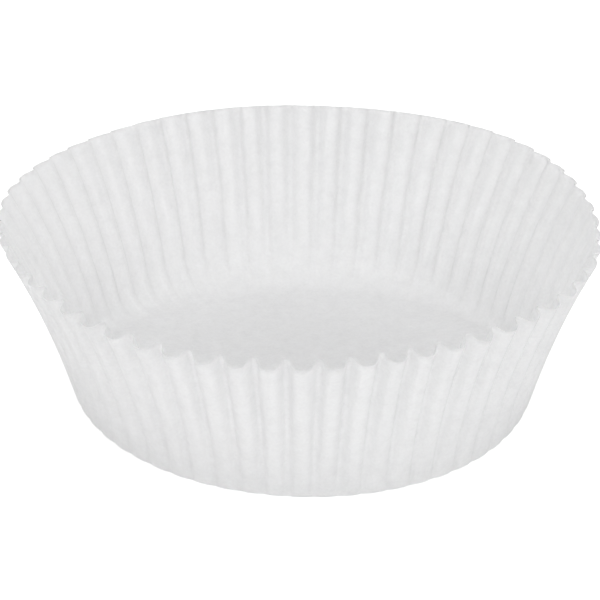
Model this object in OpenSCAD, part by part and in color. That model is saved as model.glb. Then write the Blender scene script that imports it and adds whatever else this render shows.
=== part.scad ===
// Fluted paper liner for a cupcake: one flat disc of paper, pressed into a round cup.
// The floor rests on z = 0 with its centre at the origin. All lengths are in millimetres.

/* [Base] */
// Diameter of the base, where the lines of floor and wall would meet
base_d = 50; // [40:1:60]
// Radius of the rounded corner between floor and wall
corner_r = 1; // [0.6:0.1:2]

/* [Wall] */
// Width of the band of the disc outside the base, which becomes the wall
wall_len = 19.7; // [15:0.1:30]
// Lean of the wall from upright, just above the corner
base_flare = 11.5; // [6:0.5:18]
// Lean of the wall from upright, at the rim
rim_flare = 24.5; // [20:0.5:32]

/* [Flutes] */
// Number of flutes round the wall
flute_count = 60; // [40:1:72]
// Depth of a flute, as a share of the straight zigzag that takes up all of the spare paper
flute_fullness = 0.83; // [0.5:0.01:1]
// Width of an inward ridge at half of its depth, as a share of the flute
ridge_width = 0.38; // [0.25:0.01:0.5]
// Steepness of the ridge's sides, from 2 for a soft wave to 6 for a square step
ridge_steepness = 4; // [2:0.5:6]

/* [Paper] */
// Thickness of the paper
paper_t = 0.08; // [0.05:0.01:0.15]

/* [Smoothness] */
// Points along one flute in the wall
wall_steps = 8; // [4:4:12]
// Bands of the wall above the corner
wall_bands = 5; // [3:1:8]
// Bands of the rounded corner
corner_bands = 2; // [2:1:4]

/* [Hidden] */

// The corner keeps only the crest and the trough of each flute, because it is almost plain there
corner_steps = 2;
flute_angle = 360 / flute_count;
// How much closer together the points stand at a ridge, where the paper bends most
crowding = 0.4;

// Corner: the paper turns from the flat floor up into the wall
corner_turn = 90 - base_flare;
corner_arc = corner_r * corner_turn * PI / 180;
floor_r = base_d / 2 - corner_r * tan(corner_turn / 2);
corner_out = floor_r + corner_r * sin(corner_turn);
corner_up = corner_r * (1 - cos(corner_turn));

// Wall: an arc that leans out more and more towards the rim, like the side of a bell
sheet_len = base_d / 2 + wall_len - floor_r;
bell_r = (sheet_len - corner_arc) / ((rim_flare - base_flare) * PI / 180);

// Each ring is [distance from the floor's edge along the paper, points in one flute]
rings = concat(
    [for (i = [0:corner_bands]) [corner_arc * i / corner_bands, corner_steps]],
    [for (i = [1:wall_bands])
        [corner_arc + (sheet_len - corner_arc) * i / wall_bands, wall_steps]]
);
last = len(rings) - 1;

// Mean line of the cup at a distance s along the paper: [radius, height, lean from upright]
function mean_line(s) =
    s <= corner_arc
        ? let (turn = corner_turn * s / corner_arc)
            [floor_r + corner_r * sin(turn), corner_r * (1 - cos(turn)), 90 - turn]
        : let (lean = base_flare + (s - corner_arc) / bell_r * 180 / PI)
            [
                corner_out + bell_r * (cos(base_flare) - cos(lean)),
                corner_up + bell_r * (sin(lean) - sin(base_flare)),
                lean
            ];

// A ring of the flat disc is longer than the ring of the cup that it becomes.
// The flutes take up the difference, so they grow from nothing at the floor to their full depth at the rim.
function flute_depth(s) =
    let (flat_r = floor_r + s, cup_r = mean_line(s)[0])
    flute_fullness * PI / flute_count * sqrt(max(0, flat_r ^ 2 - cup_r ^ 2));

// Cross-section of one flute: a narrow ridge that points in, and a broad bulge up to the next ridge.
// It goes from -0.5 on the ridge to 0.5 in the middle of the bulge.
function flute_wave(angle) =
    let (
        rounded = abs(sin(angle * flute_count / 2)) ^ ridge_steepness,
        half = sin(90 * ridge_width) ^ ridge_steepness
    )
    rounded * (1 + half) / (rounded + half) - 0.5;

// Angle of point i of a ring with n points in one flute
function point_angle(i, n) = flute_angle * (i / n - crowding * sin(360 * i / n) / (2 * PI));

// Middle of the paper. The flutes stand square to the leaning wall, which is what scallops the rim.
function sheet(s, angle) =
    let (line = mean_line(s), out = flute_depth(s) * flute_wave(angle), r = line[0] + out * cos(line[2]))
    [r * cos(angle), r * sin(angle), paper_t / 2 + line[1] - out * sin(line[2])];

// Direction square to the paper, pointing out of the cup. The floor's edge is level, as the floor is.
function outward(s, angle) =
    let (
        along = sheet_len / 1000,
        across = flute_angle / 1000,
        round_tangent = sheet(s, angle + across) - sheet(s, angle - across),
        rise_tangent = sheet(s + along, angle) - sheet(s - along, angle),
        square = cross(round_tangent, rise_tangent)
    )
    s <= 0 ? [0, 0, -1] : square / norm(square);

// One face of the paper, ring by ring: side is 1 for the outer face and -1 for the inner face
function skin(side) = [
    for (ring = rings, i = [0:flute_count * ring[1] - 1])
        let (angle = point_angle(i, ring[1]))
        sheet(ring[0], angle) + side * paper_t / 2 * outward(ring[0], angle)
];

// Number of points in the rings below ring j
function points_below(j) = j == 0 ? 0 : points_below(j - 1) + flute_count * rings[j - 1][1];

// Triangles between ring j and the ring above it, which may have a whole number of times its points.
// Between equal rings the diagonals are mirrored at the bulge, so that both sides of a flute are alike.
function band(j) =
    let (
        steps = rings[j][1],
        ratio = rings[j + 1][1] / steps,
        lower_n = flute_count * steps,
        upper_n = lower_n * ratio,
        lower = points_below(j),
        upper = points_below(j + 1),
        mirrored = [for (i = [0:lower_n - 1]) ratio == 1 && i % steps >= steps / 2 ? 1 : 0]
    )
    concat(
        [for (k = [0:upper_n - 1])
            let (below = floor((k + ratio / 2) / ratio) + (ratio == 1 ? mirrored[k] : 0))
            [lower + below % lower_n, upper + k, upper + (k + 1) % upper_n]],
        [for (i = [0:lower_n - 1])
            let (above = i * ratio + ceil(ratio / 2) - mirrored[i])
            [lower + i, upper + above % upper_n, lower + (i + 1) % lower_n]]
    );

function reversed(list) = [for (i = [len(list) - 1:-1:0]) list[i]];
function shifted(faces, by) = [for (face = faces) [for (point = face) point + by]];

module liner() {
    outer = skin(1);
    inner = skin(-1);
    inner_start = len(outer);
    floor_n = flute_count * corner_steps;
    rim_n = flute_count * wall_steps;
    rim = points_below(last);
    bands = [for (j = [0:last - 1], face = band(j)) face];
    floor_face = [for (i = [0:floor_n - 1]) i];
    cut_edge = [
        for (i = [0:rim_n - 1])
            let (a = rim + i, b = rim + (i + 1) % rim_n)
            each [[a, a + inner_start, b], [b, a + inner_start, b + inner_start]]
    ];
    outer_faces = concat(bands, [floor_face]);
    inner_faces = shifted([for (face = outer_faces) reversed(face)], inner_start);

    color("WhiteSmoke")
        polyhedron(points = concat(outer, inner), faces = concat(outer_faces, inner_faces, cut_edge));
}

liner();
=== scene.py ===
import math
import random

import bmesh
import bpy
from mathutils import Matrix, Vector, noise


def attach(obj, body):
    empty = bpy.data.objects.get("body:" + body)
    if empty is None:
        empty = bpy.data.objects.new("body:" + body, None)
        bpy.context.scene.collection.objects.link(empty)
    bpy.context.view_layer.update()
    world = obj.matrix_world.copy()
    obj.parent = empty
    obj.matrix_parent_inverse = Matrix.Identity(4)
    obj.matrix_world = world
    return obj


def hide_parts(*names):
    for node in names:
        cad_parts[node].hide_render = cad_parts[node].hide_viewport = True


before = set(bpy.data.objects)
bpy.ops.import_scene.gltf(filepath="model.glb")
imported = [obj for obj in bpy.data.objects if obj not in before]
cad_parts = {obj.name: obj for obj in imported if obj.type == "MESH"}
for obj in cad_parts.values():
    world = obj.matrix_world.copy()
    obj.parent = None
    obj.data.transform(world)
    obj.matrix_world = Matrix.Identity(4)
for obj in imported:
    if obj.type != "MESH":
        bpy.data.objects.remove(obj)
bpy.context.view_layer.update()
mm = 0.001

# The camera comes first: a long lens that looks down into the cup from the front
camera = {
    "distance": 280.4 * mm,
    "height angle": math.radians(28.17),
    "roll": math.radians(0.46),
    "aim height": 9.44 * mm,
    "lens": 156.2,
    "sensor": 36.0,
    "nearest": 10 * mm,
}


def placeCamera(settings):
    data = bpy.data.cameras.new("studioCamera")
    data.lens = settings["lens"]
    data.sensor_width = settings["sensor"]
    data.clip_start = settings["nearest"]
    cameraObject = bpy.data.objects.new("studioCamera", data)
    bpy.context.scene.collection.objects.link(cameraObject)
    angle = settings["height angle"]
    looking = Vector((0, math.cos(angle), -math.sin(angle)))
    right = Matrix.Rotation(-settings["roll"], 3, looking) @ Vector((1, 0, 0))
    up = right.cross(looking)
    place = Vector((0, 0, settings["aim height"])) - looking * settings["distance"]
    turn = Matrix((right, up, -looking)).transposed().to_4x4()
    cameraObject.matrix_world = Matrix.Translation(place) @ turn
    bpy.context.scene.camera = cameraObject


placeCamera(camera)
print("camera placed")

# The liner is one sheet of paper. Its mean line runs from the middle of the floor, round the corner
# and up the wall.
liner = {
    "base radius": 25 * mm,
    "corner radius": 1.0 * mm,
    # The photo shows the floor end lower and more softly at the back, as if the cup had been pushed in there
    "back": math.radians(97),
    "back corner radius": 5.5 * mm,
    "back push": 1.4 * mm,
    "back fade": 4,  # how soon what the base does at the back dies out up the wall
    "wall width": 19.7 * mm,  # the band of the flat disc outside the base
    "lean above the corner": math.radians(11.5),
    "lean at the rim": math.radians(24.5),
    "paper": 0.08 * mm,
    "flutes": 60,
    "fullness": 0.83,  # share of the straight zigzag that takes up all of the spare paper
    "ridge width": 0.38,  # of an inward ridge at half of its depth, as a share of the flute
    "ridge steepness": 4,
    "first ridge": 0.5,  # in flutes from +X
    "points in a flute": 16,
    "crowding at a ridge": 0.4,  # how much closer the points stand at a ridge
    "floor rows": 7,
    "corner rows": 6,
    "wall rows": 26,
    "merge distance": 0.0001 * mm,
    # Each wander is (bulges round the cup, how far it strays, where the first bulge lies). With 0 bulges it
    # is the same all round.
    "rim wander": [
        (2, 0.34 * mm, math.radians(1)),
        (3, 0.49 * mm, math.radians(33)),
        (4, 0.22 * mm, math.radians(-26)),
        (5, 0.20 * mm, math.radians(-34)),
        (6, 0.10 * mm, math.radians(-14)),
    ],
    "base wander": [
        (0, -0.43 * mm, 0),
        (1, 0.72 * mm, math.radians(-54)),
        (2, 0.17 * mm, math.radians(-31)),
        (3, 0.12 * mm, math.radians(59)),
    ],
    "rim hold": 1.3,  # how soon the rim's wander dies out down the wall
    "ridge wander": [(1, 0.17, math.radians(0)), (3, 0.18, math.radians(11))],  # in flutes, round the cup
    "pulled sides": 0.6,  # how much flatter the flutes are where the cup is pulled wide, at -X and +X
    "pulled reach": 6,  # the higher it is, the nearer to -X and +X that stays
    "depth change": 0.08,  # how much a flute's depth strays, as a share
    "place change": 0.04,  # how far a ridge strays, in flutes
    "cockle": 0.03 * mm,
    "cockle size": 7 * mm,
    "seed": 7,
}


def mix(a, b, share):
    return a + (b - a) * share


def wander(waves, angle):
    return sum(size * math.cos(count * (angle - start)) for count, size, start in waves)


def cupRows(cup, corner):
    # one row of the sheet after another, from the middle to the rim: radius, height, lean from upright,
    # depth of its flutes and how far up the wall it lies
    low = cup["lean above the corner"]
    turn = math.pi / 2 - low
    floorRadius = cup["base radius"] - corner * math.tan(turn / 2)
    arc = corner * turn
    # a softer corner takes less of the sheet, and the wall is not given more, so that the rim stays level
    saved = (corner - cup["corner radius"]) * (2 * math.tan(turn / 2) - turn)
    wall = cup["base radius"] + cup["wall width"] - floorRadius - arc - saved
    bell = wall / (cup["lean at the rim"] - low)
    rows = [(floorRadius * i / cup["floor rows"], 0, math.pi / 2, 0, 0) for i in range(cup["floor rows"])]
    steps = [arc * i / cup["corner rows"] for i in range(cup["corner rows"])]
    steps += [arc + wall * i / cup["wall rows"] for i in range(cup["wall rows"] + 1)]
    for along in steps:
        if along < arc:
            lean = math.pi / 2 - along / corner
            radius = floorRadius + corner * math.cos(lean)
            height = corner * (1 - math.sin(lean))
        else:
            lean = low + (along - arc) / bell
            radius = floorRadius + corner * math.cos(low) + bell * (math.cos(low) - math.cos(lean))
            height = corner * (1 - math.sin(low)) + bell * (math.sin(lean) - math.sin(low))
        # a ring of the flat disc is longer than the ring of the cup, and the flutes take up the difference
        spare = max(0, (floorRadius + along) ** 2 - radius ** 2)
        depth = cup["fullness"] * math.pi / cup["flutes"] * math.sqrt(spare)
        rows.append((radius, height, lean, depth, along / (arc + wall)))
    return rows


def cupColumns(cup):
    # one column after another round the cup: its angle at the base and at the rim, and how far out it
    # lies in its flute, from -0.5 on an inward ridge to 0.5 on the bulge between two ridges
    rng = random.Random(cup["seed"])
    count = cup["flutes"]
    ridge = [1 + rng.uniform(-1, 1) * cup["depth change"] for k in range(count)]
    bulge = [1 + rng.uniform(-1, 1) * cup["depth change"] for k in range(count)]
    atRim = [rng.uniform(-1, 1) * cup["place change"] for k in range(count)]
    atBase = [rng.uniform(-1, 1) * cup["place change"] for k in range(count)]
    half = math.sin(math.pi * cup["ridge width"] / 2) ** cup["ridge steepness"]
    columns = []
    for k in range(count):
        after = (k + 1) % count
        for i in range(cup["points in a flute"]):
            share = i / cup["points in a flute"]
            share -= cup["crowding at a ridge"] * math.sin(math.tau * share) / math.tau
            place = math.tau / count * (cup["first ridge"] + k + share)
            place += math.tau / count * wander(cup["ridge wander"], place)
            angles = [
                place + math.tau / count * mix(stray[k], stray[after], share) for stray in (atBase, atRim)
            ]
            rounded = math.sin(math.pi * share) ** cup["ridge steepness"]
            swell = rounded * (1 + half) / (rounded + half)
            pull = 1 - cup["pulled sides"] * math.cos(place) ** cup["pulled reach"]
            drop = 0.5 * (bulge[k] + mix(ridge[k], ridge[after], share)) * (1 - swell)
            wave = 0.5 * bulge[k] - drop * pull
            columns.append((angles[0], angles[1], wave))
    return columns


def pressed(row, softRow, column, cup):
    # where a point of the flat sheet lies in the pressed cup: rise is the rim's share in how it strays, foot
    # is the base's share, and behind goes from 0 at the sides to 1 at the back
    angle = mix(column[0], column[1], row[-1])
    behind = max(0, math.cos(angle - cup["back"])) ** 2
    radius, height, lean, depth, up = (mix(a, b, behind) for a, b in zip(row, softRow))
    rise = up ** cup["rim hold"]
    foot = mix(1 - rise, (1 - up) ** cup["back fade"], behind) * min(1, radius / cup["base radius"])
    outOfRound = wander(cup["rim wander"], angle) * rise + wander(cup["base wander"], angle) * foot
    reach = radius + outOfRound + depth * column[2] * math.cos(lean)
    height += cup["paper"] / 2 - depth * column[2] * math.sin(lean)
    place = Vector((reach * math.cos(angle), reach * math.sin(angle), height))
    place.y -= cup["back push"] * behind ** 2 * foot
    place.z += cup["cockle"] * (1 + noise.noise(place / cup["cockle size"]))
    return place


def buildLiner(cup):
    rows = cupRows(cup, cup["corner radius"])
    softRows = cupRows(cup, cup["back corner radius"])
    columns = cupColumns(cup)

    # a line of points from the middle to the rim, spun into a plain cup with a panel for each flute
    sheet = bmesh.new()
    rowLayer = sheet.verts.layers.float.new("row")
    line = []
    for i, (radius, height, lean, depth, up) in enumerate(rows):
        vert = sheet.verts.new((radius, 0, height))
        vert[rowLayer] = i
        line.append(vert)
    edges = [sheet.edges.new(pair) for pair in zip(line, line[1:])]
    bmesh.ops.spin(
        sheet, geom=line + edges, cent=(0, 0, 0), axis=(0, 0, 1), dvec=(0, 0, 0),
        angle=math.tau, steps=cup["flutes"], use_merge=True, use_normal_flip=False, use_duplicate=False,
    )
    bmesh.ops.remove_doubles(sheet, verts=sheet.verts, dist=cup["merge distance"])

    # the panels are divided finely and pressed into flutes
    across = [edge for edge in sheet.edges if edge.verts[0][rowLayer] == edge.verts[1][rowLayer]]
    bmesh.ops.subdivide_edges(sheet, edges=across, cuts=cup["points in a flute"] - 1, use_grid_fill=True)
    for vert in sheet.verts:
        column = round(math.atan2(vert.co.y, vert.co.x) / math.tau * len(columns)) % len(columns)
        row = round(vert[rowLayer])
        vert.co = pressed(rows[row], softRows[row], columns[column], cup)
    bmesh.ops.recalc_face_normals(sheet, faces=sheet.faces)
    for face in sheet.faces:
        face.smooth = True
    mesh = bpy.data.meshes.new("paperLiner")
    sheet.to_mesh(mesh)
    sheet.free()
    piece = bpy.data.objects.new("paperLiner", mesh)
    bpy.context.scene.collection.objects.link(piece)
    skin = piece.modifiers.new("paper", "SOLIDIFY")
    skin.thickness = cup["paper"]
    skin.offset = 0
    skin.use_even_offset = True
    return piece


def grainGroup():
    # cloudy mottle with fine fibres over it, which both the paper and the studio floor wear
    group = bpy.data.node_groups.new("grain", "ShaderNodeTree")
    for name in ("Cloud Size", "Fibre Size", "Fibre Share"):
        group.interface.new_socket(name, in_out="INPUT", socket_type="NodeSocketFloat")
    group.interface.new_socket("Mottle", in_out="OUTPUT", socket_type="NodeSocketFloat")
    given = group.nodes.new("NodeGroupInput")
    put = group.nodes.new("NodeGroupOutput")
    coords = group.nodes.new("ShaderNodeTexCoord")
    layers = []
    for name, octaves in (("Cloud Size", 3), ("Fibre Size", 4)):
        scale = group.nodes.new("ShaderNodeMath")
        scale.operation = "DIVIDE"
        scale.inputs[0].default_value = 1
        group.links.new(given.outputs[name], scale.inputs[1])
        layer = group.nodes.new("ShaderNodeTexNoise")
        layer.inputs["Detail"].default_value = octaves
        group.links.new(coords.outputs["Object"], layer.inputs["Vector"])
        group.links.new(scale.outputs[0], layer.inputs["Scale"])
        layers.append(layer)
    blend = group.nodes.new("ShaderNodeMix")
    group.links.new(given.outputs["Fibre Share"], blend.inputs["Factor"])
    group.links.new(layers[0].outputs["Fac"], blend.inputs["A"])
    group.links.new(layers[1].outputs["Fac"], blend.inputs["B"])
    group.links.new(blend.outputs["Result"], put.inputs["Mottle"])
    return group


grainSpan = (0.3, 0.7)  # the mottle hardly leaves this span, so it is spread from the shade to the white


def newMaterial(name, look, grain):
    # a matt material whose colour and surface follow its own grain
    material = bpy.data.materials.new(name)
    material.use_nodes = True
    tree = material.node_tree
    shader = tree.nodes["Principled BSDF"]
    mottle = tree.nodes.new("ShaderNodeGroup")
    mottle.node_tree = grain
    mottle.inputs["Cloud Size"].default_value = look["cloud size"]
    mottle.inputs["Fibre Size"].default_value = look["fibre size"]
    mottle.inputs["Fibre Share"].default_value = look["fibre share"]
    spread = tree.nodes.new("ShaderNodeMapRange")
    spread.inputs["From Min"].default_value = grainSpan[0]
    spread.inputs["From Max"].default_value = grainSpan[1]
    tree.links.new(mottle.outputs["Mottle"], spread.inputs["Value"])
    colour = tree.nodes.new("ShaderNodeMix")
    colour.data_type = "RGBA"
    colour.inputs["A"].default_value = look["shade"]
    colour.inputs["B"].default_value = look["white"]
    tree.links.new(spread.outputs["Result"], colour.inputs["Factor"])
    tree.links.new(colour.outputs["Result"], shader.inputs["Base Color"])
    bump = tree.nodes.new("ShaderNodeBump")
    bump.inputs["Distance"].default_value = look["grain height"]
    tree.links.new(mottle.outputs["Mottle"], bump.inputs["Height"])
    tree.links.new(bump.outputs["Normal"], shader.inputs["Normal"])
    shader.inputs["Roughness"].default_value = look["roughness"]
    return material, colour, bump


paper = {
    "white": (0.985, 0.985, 0.985, 1),
    "shade": (0.9, 0.9, 0.903, 1),
    "cloud size": 1.1 * mm,
    "fibre size": 0.3 * mm,
    "fibre share": 0.55,
    "roughness": 0.85,
    "grain height": 0.004 * mm,
    "let through": 0.65,  # share of the light that goes into the thin paper and is not sent back
}


def paperMaterial(look, grain):
    material, colour, bump = newMaterial("whitePaper", look, grain)
    tree = material.node_tree
    through = tree.nodes.new("ShaderNodeBsdfTranslucent")
    tree.links.new(colour.outputs["Result"], through.inputs["Color"])
    tree.links.new(bump.outputs["Normal"], through.inputs["Normal"])
    both = tree.nodes.new("ShaderNodeMixShader")
    both.inputs["Fac"].default_value = look["let through"]
    tree.links.new(tree.nodes["Principled BSDF"].outputs["BSDF"], both.inputs[1])
    tree.links.new(through.outputs["BSDF"], both.inputs[2])
    tree.links.new(both.outputs["Shader"], tree.nodes["Material Output"].inputs["Surface"])
    return material


stage = {
    "radius": 3.0,
    "sides": 96,
    "white": (0.98, 0.98, 0.98, 1),
    "shade": (0.96, 0.96, 0.96, 1),
    "cloud size": 60 * mm,
    "fibre size": 3 * mm,
    "fibre share": 0.3,
    "roughness": 0.9,
    "grain height": 0.01 * mm,
    "whitening": 0.4,  # added where the camera sees the floor, so that it is as clean as the photo's
}


def buildFloor(settings, grain):
    disc = bmesh.new()
    bmesh.ops.create_circle(disc, cap_ends=True, segments=settings["sides"], radius=settings["radius"])
    mesh = bpy.data.meshes.new("studioFloor")
    disc.to_mesh(mesh)
    disc.free()
    floor = bpy.data.objects.new("studioFloor", mesh)
    bpy.context.scene.collection.objects.link(floor)
    material = newMaterial("paleFloor", settings, grain)[0]
    tree = material.node_tree
    shader = tree.nodes["Principled BSDF"]
    shader.inputs["Emission Color"].default_value = settings["white"]
    seen = tree.nodes.new("ShaderNodeLightPath")
    whiten = tree.nodes.new("ShaderNodeMath")
    whiten.operation = "MULTIPLY"
    whiten.inputs[1].default_value = settings["whitening"]
    tree.links.new(seen.outputs["Is Camera Ray"], whiten.inputs[0])
    tree.links.new(whiten.outputs[0], shader.inputs["Emission Strength"])
    mesh.materials.append(material)


light = {
    # The room is lit from a band above the horizon and from the ceiling. Each entry is (height as a sine,
    # share of the strength).
    "room": 2.06,
    "room heights": [(0.15, 0), (0.35, 0.45), (0.6, 0.12), (0.8, 0.12), (0.9, 1)],
    # Each panel is (name, place, width, height, power in watts) and faces the liner
    "panels": [
        ("frontPanel", Vector((0, -1.0, 0.95)), 2.4, 0.7, 2.6),
        ("lowPanel", Vector((0, -1.25, 0.6)), 2.4, 0.7, 2.9),
        ("rightPanel", Vector((1.1, -0.85, 0.5)), 1.0, 0.8, 1.15),
        ("backPanel", Vector((0, 1.3, 0.6)), 2.4, 0.7, 7.7),
    ],
}


def lightStudio(settings):
    world = bpy.data.worlds.new("softRoom")
    world.use_nodes = True
    tree = world.node_tree
    background = tree.nodes["Background"]
    background.inputs["Strength"].default_value = settings["room"]
    coords = tree.nodes.new("ShaderNodeTexCoord")
    split = tree.nodes.new("ShaderNodeSeparateXYZ")
    tree.links.new(coords.outputs["Generated"], split.inputs["Vector"])
    ramp = tree.nodes.new("ShaderNodeValToRGB")
    stops = ramp.color_ramp.elements
    for i, (height, share) in enumerate(settings["room heights"]):
        stop = stops[i] if i == 0 else stops.new(height)
        stop.position = height
        stop.color = (share, share, share, 1)
    stops.remove(stops[-1])  # the last of the two stops that a new ramp has
    tree.links.new(split.outputs["Z"], ramp.inputs["Fac"])
    tree.links.new(ramp.outputs["Color"], background.inputs["Color"])
    bpy.context.scene.world = world
    for name, place, width, height, power in settings["panels"]:
        data = bpy.data.lights.new(name, "AREA")
        data.shape = "RECTANGLE"
        data.size = width
        data.size_y = height
        data.energy = power
        panel = bpy.data.objects.new(name, data)
        bpy.context.scene.collection.objects.link(panel)
        panel.location = place
        panel.rotation_euler = (-place).to_track_quat("-Z", "Y").to_euler()
    bpy.context.scene.view_settings.view_transform = "Standard"


linerPiece = buildLiner(liner)
grain = grainGroup()
linerPiece.data.materials.append(paperMaterial(paper, grain))
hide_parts("liner")
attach(linerPiece, "root")
print("liner built:", len(linerPiece.data.polygons), "faces in its middle sheet")

buildFloor(stage, grain)
lightStudio(light)
print("stage and light built")
